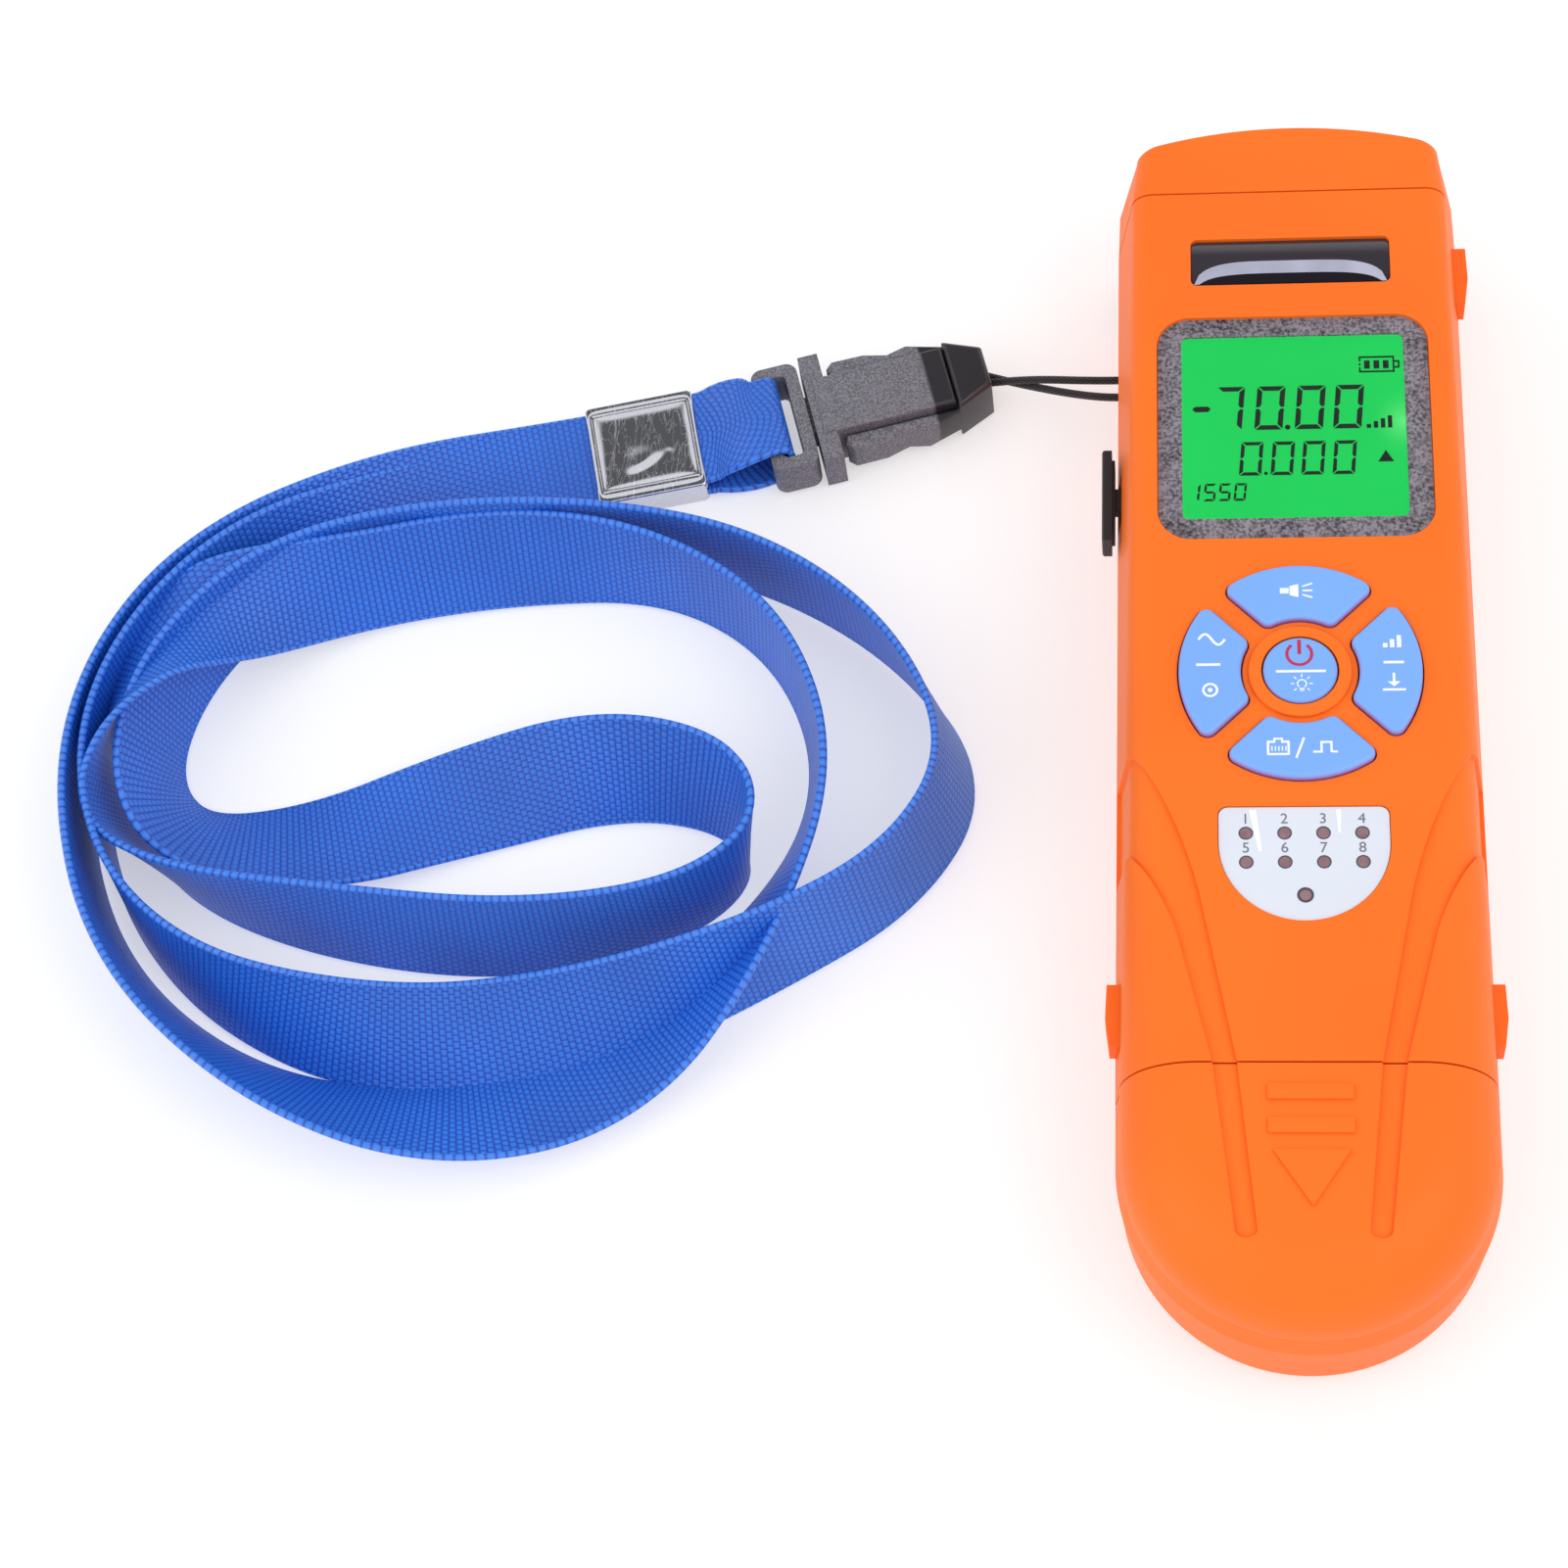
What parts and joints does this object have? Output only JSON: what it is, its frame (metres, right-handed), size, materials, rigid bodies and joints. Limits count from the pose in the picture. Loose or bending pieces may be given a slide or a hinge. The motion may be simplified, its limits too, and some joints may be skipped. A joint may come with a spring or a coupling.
{
  "type": "handheld optical power meter",
  "caption": "Handheld optical power meter for fibre cabling, with round keypad, indicator lamps, hinged dust cap, detachable remote unit and wrist lanyard.",
  "frame": {"origin": "bottom centre of the meter without its lanyard, on the surface that it lies on", "axes": "+X to the right of the keypad, +Y towards the dust cap, +Z out of the front face; the meter lies on its back"},
  "size_m": [0.1887, 0.1666, 0.0289],
  "materials": {
    "orange_housing": "smooth semi-matt moulding",
    "black_plastic": "fine grain",
    "black_gloss": "polished insert",
    "grey_plastic": "mottled dark grey frame",
    "clear_lens": "clear moulded lens",
    "green_display": "lit green display glass",
    "white_plastic": "pale printed label stock",
    "blue_keys": "light blue keys with white legends",
    "lamp_lens": "unlit lamp epoxy",
    "circuit_board": "solder mask",
    "bright_metal": "nickel plated",
    "cell_can": "plain cell jacket",
    "black_cord": "braided cord",
    "chromed_clasp": "pressed chromed sheet with scratches",
    "blue_webbing": "woven ribbed webbing"
  },
  "bodies": {
    "housing": {"front_shell": "orange_housing", "rear_shell": "orange_housing", "port_panel": "black_plastic", "name_insert": "black_gloss", "display_mask": "grey_plastic", "display_lens": "clear_lens", "lcd_glass": "green_display", "backlight": "white_plastic", "indicator_label": "white_plastic", "indicator_lamps": "lamp_lens", "tact_switches": "black_plastic", "main_board": "circuit_board", "optical_port": "bright_metal", "red_light_port": "bright_metal", "laser_module": "bright_metal", "torch_lamp": "lamp_lens", "network_jack": "black_plastic", "hinge_pin": "bright_metal", "lanyard_pin": "bright_metal", "cell_1": "cell_can", "cell_2": "cell_can", "cell_3": "cell_can", "battery_contacts": "bright_metal", "housing_screws": "bright_metal", "slide_switch": "black_plastic", "loop_cord": "black_cord", "buckle_plug": "black_plastic", "buckle_socket": "black_plastic", "strap_clasp": "chromed_clasp", "strap": "blue_webbing"},
    "cap": {"dust_cap": "orange_housing"},
    "remote": {"tail_front_shell": "orange_housing", "tail_rear_shell": "orange_housing", "tail_board": "circuit_board", "remote_jack": "black_plastic"},
    "door": {"battery_door": "orange_housing"},
    "top_key": {"key_top": "blue_keys"},
    "left_key": {"key_left": "blue_keys"},
    "bottom_key": {"key_bottom": "blue_keys"},
    "right_key": {"key_right": "blue_keys"},
    "power_key": {"key_power": "blue_keys"},
    "knob": {"slide_knob": "black_plastic"},
    "cap_catch": {"cap_latch": "orange_housing"},
    "left_catch": {"tail_latch_left": "orange_housing"},
    "right_catch": {"tail_latch_right": "orange_housing"}
  },
  "joints": [
    {"name": "cap_hinge", "type": "hinge", "parent": "housing", "child": "cap", "pos_m": [0, 0.0729, 0.0025], "axis": [-1, 0, 0], "range_deg": [0, 90]},
    {"name": "remote_slide", "type": "slide", "parent": "housing", "child": "remote", "axis": [0, -1, 0], "range_m": [0, 0.045]},
    {"name": "door_lift", "type": "slide", "parent": "housing", "child": "door", "axis": [0, 0, -1], "range_m": [0, 0.012]},
    {"name": "top_key_press", "type": "slide", "parent": "housing", "child": "top_key", "axis": [0, 0, -1], "range_m": [0, 0.0006], "stiffness_N_per_m": 1500},
    {"name": "left_key_press", "type": "slide", "parent": "housing", "child": "left_key", "axis": [0, 0, -1], "range_m": [0, 0.0006], "stiffness_N_per_m": 1500},
    {"name": "bottom_key_press", "type": "slide", "parent": "housing", "child": "bottom_key", "axis": [0, 0, -1], "range_m": [0, 0.0006], "stiffness_N_per_m": 1500},
    {"name": "right_key_press", "type": "slide", "parent": "housing", "child": "right_key", "axis": [0, 0, -1], "range_m": [0, 0.0006], "stiffness_N_per_m": 1500},
    {"name": "power_key_press", "type": "slide", "parent": "housing", "child": "power_key", "axis": [0, 0, -1], "range_m": [0, 0.0006], "stiffness_N_per_m": 1500},
    {"name": "knob_slide", "type": "slide", "parent": "housing", "child": "knob", "axis": [0, 1, 0], "range_m": [-0.002, 0.002]},
    {"name": "cap_catch_press", "type": "slide", "parent": "housing", "child": "cap_catch", "axis": [-1, 0, 0], "range_m": [0, 0.0007], "stiffness_N_per_m": 1500},
    {"name": "left_catch_press", "type": "slide", "parent": "housing", "child": "left_catch", "axis": [1, 0, 0], "range_m": [0, 0.0007], "stiffness_N_per_m": 1500},
    {"name": "right_catch_press", "type": "slide", "parent": "housing", "child": "right_catch", "axis": [-1, 0, 0], "range_m": [0, 0.0007], "stiffness_N_per_m": 1500}
  ]
}
